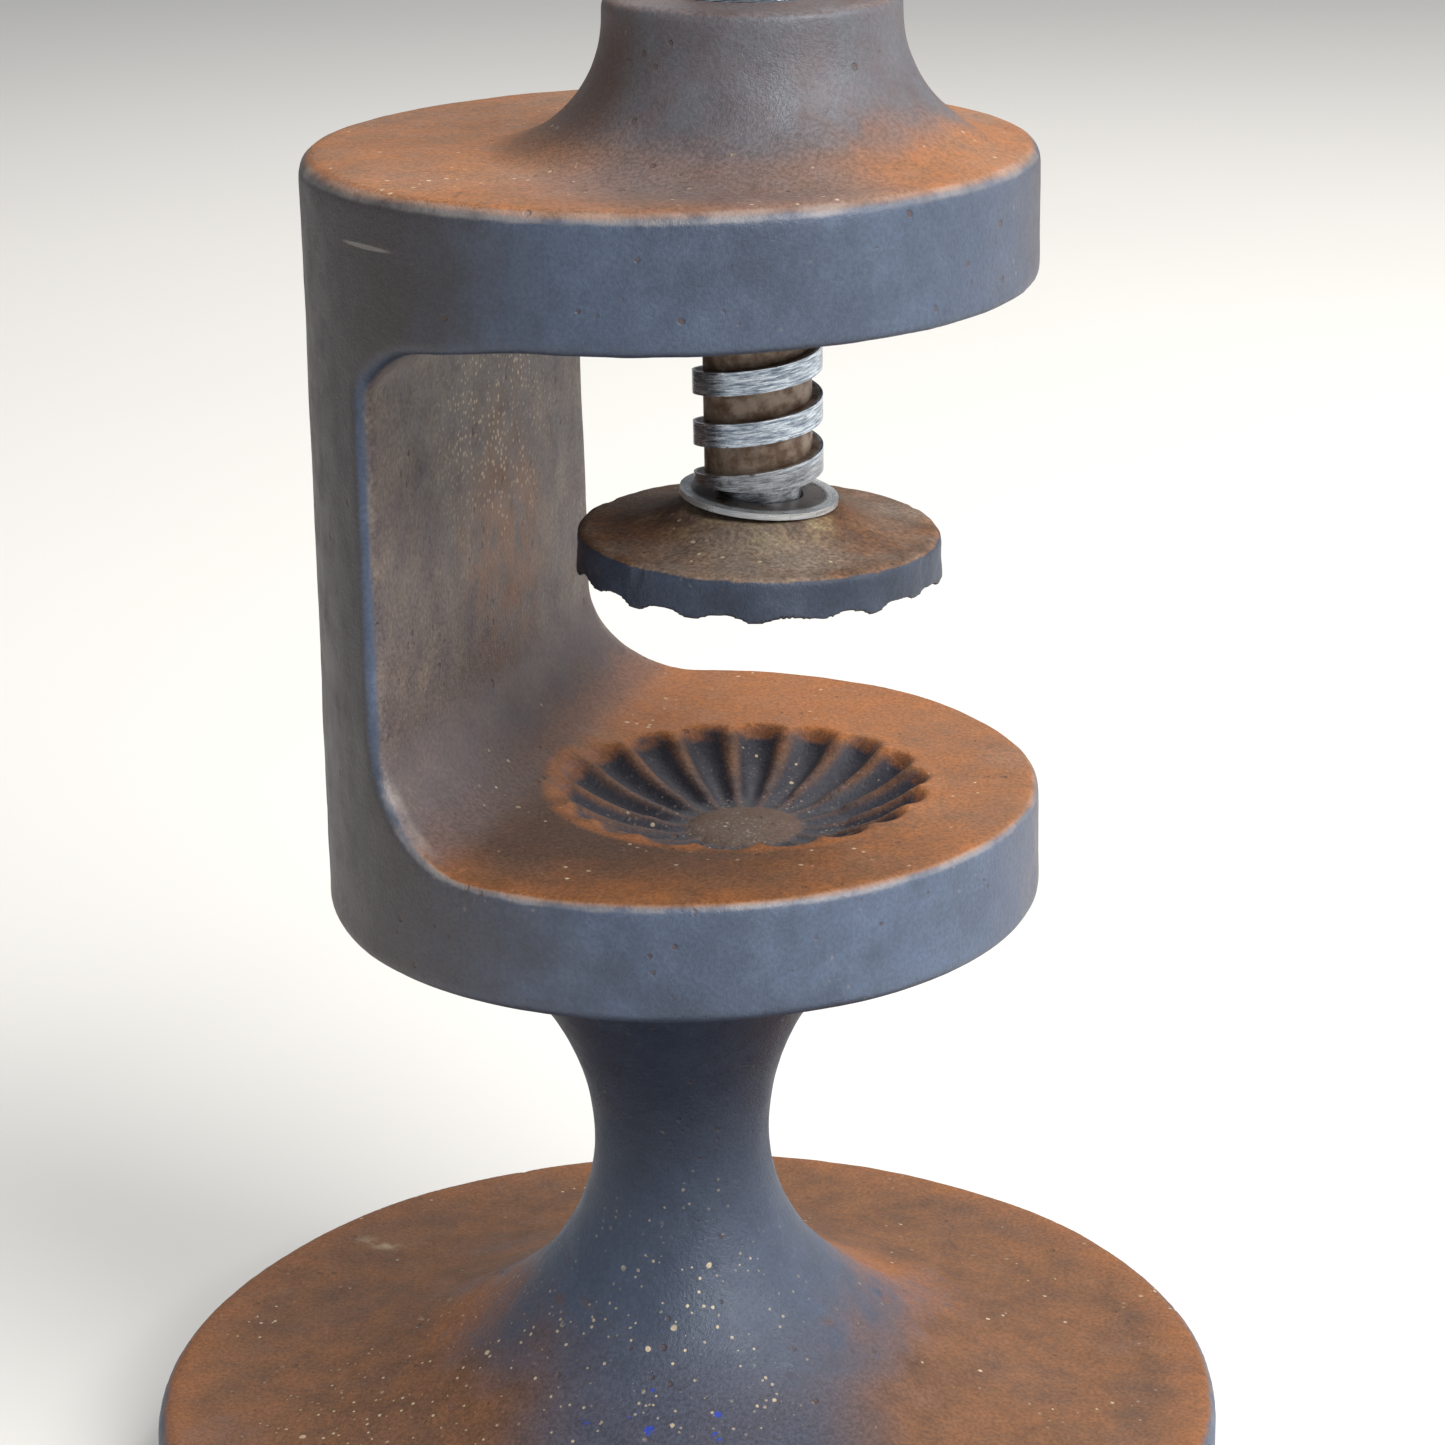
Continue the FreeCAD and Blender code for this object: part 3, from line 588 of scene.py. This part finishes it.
def make_screw_steel():
    """Bright crests streaked along the thread, and rusty roots."""
    shade = Shade("pressure_screw_steel")
    reach, angle = shade.from_axis(screw_x)
    along = shade.times(angle, thread_radius)
    climb = shade.sum("SUBTRACT", shade.z, shade.times(angle, thread_pitch / (2 * math.pi)))
    streaked = shade.join(shade.times(along, 0.12), climb, shade.times(reach, 0.3))
    streaks = shade.noise(0.22 * MM, 4.0, 0.65, streaked)
    fine = shade.noise(1.6 * MM, 4.0, 0.6)
    fleck = shade.times(shade.specks(1.1 * MM, 0.08, 0.28), shade.ramp(fine, 0.45, 0.6))
    crest = shade.ramp(reach, thread_radius - 0.5 * MM, thread_radius - 0.12 * MM)
    spigot = shade.ramp(reach, thread_radius - 1.6 * MM, thread_radius - 2.0 * MM)
    bright = shade.most(crest, spigot)
    steel = shade.mix(shade.ramp(streaks, 0.3, 0.7), crest_dark, crest_light)
    steel = shade.coat(steel, fleck_brown, fleck, 0.8)
    last_turn = shade.ramp(shade.z, last_turn_top, last_turn_top - 2 * MM)
    steel = shade.coat(steel, crest_worn, last_turn, 0.5)
    root = shade.mix(shade.ramp(fine, 0.35, 0.65), root_dark, root_light)
    colour = shade.mix(bright, root, steel)
    rough_root = shade.times(shade.sum("SUBTRACT", 1.0, bright), 0.25)
    roughness = shade.add(rough_root, shade.times(streaks, 0.45))
    metallic = shade.add(shade.times(bright, 0.55), 0.35)
    normal = shade.bump(streaks, 0.06 * MM)
    normal = shade.bump(fine, 0.05 * MM, normal)
    return shade.finish(colour, roughness, metallic, normal, 0.5)


def make_turned_steel(name, bright, dull, axis_x, stain_size=2.5 * MM):
    """Turned steel with rings about an upright axis, a few stains and fine wear."""
    shade = Shade(name)
    _, rings = turned_rings(shade, axis_x, 0.14 * MM)
    stains = shade.noise(stain_size, 4.0, 0.6)
    colour = shade.mix(shade.ramp(rings, 0.3, 0.7), dull, bright)
    colour = shade.coat(colour, stain_brown, shade.ramp(stains, 0.52, 0.7), 0.55)
    colour = shade.coat(colour, edge_white, shade.edges(0.52, 0.60), 0.4)
    roughness = shade.ramp(stains, 0.3, 0.7, 0.26, 0.5)
    return shade.finish(colour, roughness, 0.7, shade.bump(rings, 0.03 * MM), 0.5)


def make_washer_steel():
    """Loose washer: bright turned rim, and a dark, rubbed and slightly rusty top."""
    shade = Shade("thrust_washer_steel")
    reach, rings = turned_rings(shade, screw_x, 0.12 * MM)
    stains = shade.noise(1.6 * MM, 4.0, 0.6)
    rim = shade.mix(shade.ramp(rings, 0.3, 0.7), rim_dark, rim_light)
    top = shade.mix(shade.ramp(stains, 0.3, 0.7), washer_dark, washer_light)
    flat = shade.times(
        shade.ramp(shade.facing_z, 0.4, 0.9),
        shade.ramp(reach, thread_radius + 0.6 * MM, thread_radius + 0.1 * MM),
    )
    colour = shade.mix(flat, rim, top)
    colour = shade.coat(colour, rust_dark, shade.ramp(stains, 0.58, 0.75), 0.5)
    roughness = shade.ramp(stains, 0.3, 0.7, 0.24, 0.45)
    return shade.finish(colour, roughness, 0.7, shade.bump(rings, 0.03 * MM), 0.5)


def make_felt():
    shade = Shade("base_baize_felt")
    fibres = shade.noise(0.5 * MM, 5.0, 0.7, warp=1.2)
    wear = shade.noise(18 * MM, 4.0, 0.6)
    colour = shade.mix(shade.ramp(fibres, 0.3, 0.7), felt_dark, felt_light)
    colour = shade.coat(colour, felt_worn, shade.ramp(wear, 0.5, 0.7), 0.4)
    return shade.finish(colour, 0.95, 0.0, shade.bump(fibres, 0.25 * MM), 0.1)


# ---------------------------------------------------------------- cast pieces with softened, uneven skins

flash_height = 0.34 * MM
pit_depth = 0.5 * MM
cup_wave_depth = 0.34 * MM
ceiling_drop = 1.35 * MM
pock_depth = 0.16 * MM
scallop_roughness = 0.30 * MM
chip_depth = 0.22 * MM
bore_clearance = 0.25 * MM
bore_overrun = 3 * MM
weld_distance = 0.0001 * MM
most_triangles = 180000


def drum_side(point):
    """How far a point is outside the frame's round side."""
    return math.hypot(point.x - frame_x, point.y) - frame_radius


def mouth_outline(point):
    """Distance inside the mouth's outline, seen from the side: 0 on its wall, table and ceiling."""
    corner = table_corner if point.z < (table_top + ceiling) / 2 else ceiling_corner
    x = point.x - wall_x
    z = min(point.z - table_top, ceiling - point.z)
    if x < corner and z < corner:
        return corner - math.hypot(corner - x, corner - z)
    return min(x, z)


def frame_skin(point, normal):
    """Uneven casting: flash along the mouth's near edge, a pit beside it, waved flutes, a sloping ceiling.

    Round the screw's axis and on the stem's top it keeps the shape of the CAD.
    """
    reach = math.hypot(point.x - screw_x, point.y)
    free = fade(reach, 7.5 * MM, 10 * MM) * fade(point.z, stem_top - 1 * MM, stem_top + 1.5 * MM)
    push = uneven(point, (0.16 * MM, 15 * MM, 3), (0.05 * MM, 4 * MM, 11), (0.02 * MM, 1.3 * MM, 17))
    edge = math.hypot(drum_side(point) + 0.35 * MM, mouth_outline(point) - 0.1 * MM)
    if point.y < 0 and edge < 1.6 * MM:
        waver = 0.65 + 0.45 * lumps(point, 5 * MM, 23)
        upright = 1.0 if point.x < wall_x + table_corner * 1.3 else 0.35
        push += flash_height * waver * upright * (1 - fade(edge, 0.25 * MM, 0.95 * MM))
    push -= pit_depth * (1 - fade((point - pit_place).length, 0.3 * MM, 1.3 * MM))
    if stem_top + 3 * MM < point.z < table_top + 0.5 * MM:
        reach = math.hypot(point.x - cup_x, point.y)
        angle = math.atan2(point.y, point.x - cup_x)
        wave = math.cos(flute_count * (angle - flute_start))
        in_flutes = fade(reach, button_radius + 1 * MM, 10 * MM) * (1 - fade(reach, 16.5 * MM, 18.8 * MM))
        push -= cup_wave_depth * wave * in_flutes
    near_ceiling = 1 - fade(abs(point.z - ceiling), 1.5 * MM, 8 * MM)
    lowered = ceiling_drop * near_ceiling * (1 - fade(point.x, wall_x + 4 * MM, wall_x + 19 * MM))
    in_front = fade(point.x, wall_x - 3 * MM, wall_x + 1.5 * MM)
    return point + normal * push * free - Vector((0, 0, lowered * in_front))


def pedestal_skin(point, normal):
    """Uneven casting with small pocks. The foot and the top of the stem keep the shape of the CAD."""
    free = fade(point.z, 3 * MM, 5 * MM) * fade(stem_top - point.z, 0.5 * MM, 3 * MM)
    push = uneven(point, (0.18 * MM, 17 * MM, 5), (0.05 * MM, 4.5 * MM, 13), (0.02 * MM, 1.4 * MM, 19))
    push -= pock_depth * fade(lumps(point, 2.6 * MM, 31), 0.45, 0.75)
    return point + normal * push * free


def pad_skin(point, normal):
    """Uneven casting with a rough scalloped edge and a chipped rim. The hub keeps the shape of the CAD."""
    reach = math.hypot(point.x - screw_x, point.y)
    free = fade(reach, 8.8 * MM, 11 * MM)
    low_edge = fade(reach, 14 * MM, 16.5 * MM) * fade(pad_low.z + 3.2 * MM - point.z, 0, 2 * MM)
    push = uneven(point, (0.12 * MM, 8 * MM, 7), (0.07 * MM, 2.5 * MM, 29), (0.03 * MM, 1.1 * MM, 33))
    push += scallop_roughness * low_edge * lumps(point, 3.6 * MM, 37)
    chip = fade(lumps(point, 3.1 * MM, 41), 0.35, 0.7)
    push -= chip_depth * chip * fade(reach, 15.5 * MM, 17.5 * MM)
    return point + normal * push * free


def handle_skin(point, normal):
    """Uneven casting. The hub keeps the shape of the CAD."""
    reach = math.hypot(point.x - screw_x, point.y)
    free = fade(reach, 8.5 * MM, 11 * MM)
    push = uneven(point, (0.15 * MM, 12 * MM, 9), (0.04 * MM, 4 * MM, 15))
    return point + normal * push * free


def bake(piece):
    """Applies a piece's modifiers to its mesh."""
    evaluated = piece.evaluated_get(bpy.context.evaluated_depsgraph_get())
    mesh = bpy.data.meshes.new_from_object(evaluated)
    piece.modifiers.clear()
    piece.data = mesh


def plug(radius, axis_x, bottom, top):
    """Upright round cutter."""
    shape = bmesh.new()
    matrix = Matrix.Translation((axis_x, 0, (bottom + top) / 2))
    bmesh.ops.create_cone(
        shape, cap_ends=True, segments=96, radius1=radius, radius2=radius, depth=top - bottom, matrix=matrix
    )
    mesh = bpy.data.meshes.new("cutter")
    shape.to_mesh(mesh)
    shape.free()
    cutter = bpy.data.objects.new("cutter", mesh)
    bpy.context.scene.collection.objects.link(cutter)
    return cutter


def weld(mesh):
    """Joins the vertices that neighbouring faces of the CAD don't share."""
    shape = bmesh.new()
    shape.from_mesh(mesh)
    bmesh.ops.remove_doubles(shape, verts=shape.verts, dist=weld_distance)
    shape.to_mesh(mesh)
    shape.free()


def cut_away(piece, cutter):
    cut = piece.modifiers.new("bore", "BOOLEAN")
    cut.operation = "DIFFERENCE"
    cut.object = cutter
    bake(piece)
    bpy.data.objects.remove(cutter)


def soften(piece, voxel):
    """Makes the mesh again on a fine grid and smooths it, so that its edges are slightly rounded."""
    remesh = piece.modifiers.new("remesh", "REMESH")
    remesh.mode = "VOXEL"
    remesh.voxel_size = voxel
    smooth = piece.modifiers.new("smooth", "SMOOTH")
    smooth.factor = 0.5
    smooth.iterations = 4
    bake(piece)


def reshape(piece, skin):
    """Moves each vertex to where skin puts it. All normals are read before any vertex moves."""
    places = [vertex.co.copy() for vertex in piece.data.vertices]
    normals = [vertex.normal.copy() for vertex in piece.data.vertices]
    moved = [skin(place, normal) for place, normal in zip(places, normals)]
    piece.data.vertices.foreach_set("co", [value for place in moved for value in place])
    piece.data.update()


def thin_out(piece):
    """Brings a mesh down to most_triangles."""
    triangles = sum(len(face.vertices) - 2 for face in piece.data.polygons)
    if triangles > most_triangles:
        decimate = piece.modifiers.new("decimate", "DECIMATE")
        decimate.ratio = most_triangles / triangles
        bake(piece)


def cast_copy(node, name, body, voxel, skin, material, cutter=None):
    """Stands for a CAD casting: the same shape with softened edges and a slightly uneven skin."""
    mesh = nodes[node].data.copy()
    mesh.materials.clear()
    piece = bpy.data.objects.new(name, mesh)
    bpy.context.scene.collection.objects.link(piece)
    weld(mesh)
    if cutter is not None:
        cut_away(piece, cutter)
    soften(piece, voxel)
    reshape(piece, skin)
    thin_out(piece)
    piece.data.shade_smooth()
    piece.data.materials.clear()
    piece.data.materials.append(material)
    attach(piece, body)
    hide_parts(node)


frame_bore = plug(thread_radius + bore_clearance, screw_x, ceiling - bore_overrun, boss_top + bore_overrun)
cast_copy(
    "press_frame", "press_frame_casting", "stand",
    voxel=0.42 * MM, skin=frame_skin, material=make_frame_iron(), cutter=frame_bore,
)
cast_copy(
    "pedestal", "pedestal_casting", "stand",
    voxel=0.6 * MM, skin=pedestal_skin, material=make_pedestal_iron(),
)
cast_copy(
    "pressure_pad", "pressure_pad_casting", "pad",
    voxel=0.24 * MM, skin=pad_skin, material=make_pad_iron(),
)
cast_copy(
    "handle", "handle_casting", "spindle",
    voxel=0.45 * MM, skin=handle_skin, material=make_handle_iron(),
)


# ---------------------------------------------------------------- pieces that keep their CAD meshes

def dress(node, material):
    piece = nodes[node]
    piece.data.materials.clear()
    piece.data.materials.append(material)


dress("pressure_screw", make_screw_steel())
dress("thrust_washer", make_washer_steel())
for node in ("handle_washer", "handle_dome_nut"):
    dress(node, make_turned_steel(node + "_steel", steel_light, steel_mid, screw_x))
pad_screw_steel = make_turned_steel("pad_screw_steel", steel_mid, steel_dark, screw_x)
dress("pad_retaining_screw", pad_screw_steel)
bolt_steel = make_turned_steel("bolt_steel", steel_mid, steel_dark, 0.0, stain_size=5.0 * MM)
for node in ("tie_bolt", "tie_bolt_washer", "tie_bolt_lock_washer", "locating_dowel"):
    dress(node, bolt_steel)
dress("base_baize", make_felt())


# ---------------------------------------------------------------- studio

floor_reach = 3.0
world_strength = 0.42
camera_azimuth = 19.6
camera_distance = 355.4 * MM
camera_height = 204.1 * MM
camera_pitch = math.radians(18.71)
camera_yaw = math.radians(0.81)
camera_roll = math.radians(-1.01)
camera_lens = 92.75
camera_sensor = 36

# name, degrees to the right of the camera, elevation, distance and size in metres, watts, colour
studio_lights = (
    ("key", 48, 42, 0.9, 0.55, 11.0, (1.0, 0.97, 0.93)),
    ("fill", -60, 25, 1.1, 0.9, 1.2, (0.92, 0.96, 1.0)),
    ("side", 112, 12, 0.9, 0.5, 1.7, (1.0, 0.97, 0.94)),
    ("back", 165, 50, 1.0, 0.6, 6.0, (1.0, 0.95, 0.88)),
)


def make_floor():
    shape = bmesh.new()
    bmesh.ops.create_grid(shape, x_segments=1, y_segments=1, size=floor_reach)
    mesh = bpy.data.meshes.new("studio_floor")
    shape.to_mesh(mesh)
    shape.free()
    floor = bpy.data.objects.new("studio_floor", mesh)
    bpy.context.scene.collection.objects.link(floor)
    shade = Shade("studio_floor_paint")
    tint = shade.mix(shade.noise(0.3), floor_dark, floor_light)
    mesh.materials.append(shade.finish(tint, 0.8, 0.0, None, 0.2))


def toward(azimuth, elevation, distance, target):
    """Point at that azimuth (0 looks along +Y) and elevation from a target, in degrees."""
    turn = math.radians(azimuth)
    rise = math.radians(elevation)
    out = Vector((math.sin(turn) * math.cos(rise), -math.cos(turn) * math.cos(rise), math.sin(rise)))
    return Vector(target) + out * distance


def make_light(name, azimuth, elevation, distance, size, power, colour):
    """Square light aimed at the middle of the object."""
    target = Vector((0, 0, 90 * MM))
    light = bpy.data.lights.new(name, "AREA")
    light.size = size
    light.energy = power
    light.color = colour
    lamp = bpy.data.objects.new(name, light)
    lamp.location = toward(azimuth, elevation, distance, target)
    lamp.rotation_euler = (target - lamp.location).to_track_quat("-Z", "Y").to_euler()
    bpy.context.scene.collection.objects.link(lamp)


def make_world():
    world = bpy.data.worlds.new("studio")
    world.use_nodes = True
    background = world.node_tree.nodes["Background"]
    background.inputs["Color"].default_value = srgb(226, 228, 232)
    background.inputs["Strength"].default_value = world_strength
    bpy.context.scene.world = world


def make_camera():
    """Camera a little lower than the object's top, looking down, with a slight roll."""
    data = bpy.data.cameras.new("camera")
    data.lens = camera_lens
    data.sensor_width = camera_sensor
    data.clip_start = 0.01
    camera = bpy.data.objects.new("camera", data)
    ahead = Vector((
        math.sin(camera_yaw) * math.cos(camera_pitch),
        math.cos(camera_yaw) * math.cos(camera_pitch),
        -math.sin(camera_pitch),
    ))
    right = Vector((math.cos(camera_yaw), -math.sin(camera_yaw), 0))
    up = right.cross(ahead)
    rolled_right = math.cos(camera_roll) * right + math.sin(camera_roll) * up
    rolled_up = -math.sin(camera_roll) * right + math.cos(camera_roll) * up
    axes = Matrix((rolled_right, rolled_up, -ahead)).transposed().to_4x4()
    turn = Matrix.Rotation(math.radians(camera_azimuth), 4, "Z")
    camera.matrix_world = turn @ Matrix.Translation((0, -camera_distance, camera_height)) @ axes
    bpy.context.scene.collection.objects.link(camera)
    bpy.context.scene.camera = camera


make_floor()
make_world()
for name, aside, elevation, distance, size, power, colour in studio_lights:
    make_light(name, camera_azimuth + aside, elevation, distance, size, power, colour)
make_camera()
bpy.context.scene.view_settings.view_transform = "Standard"
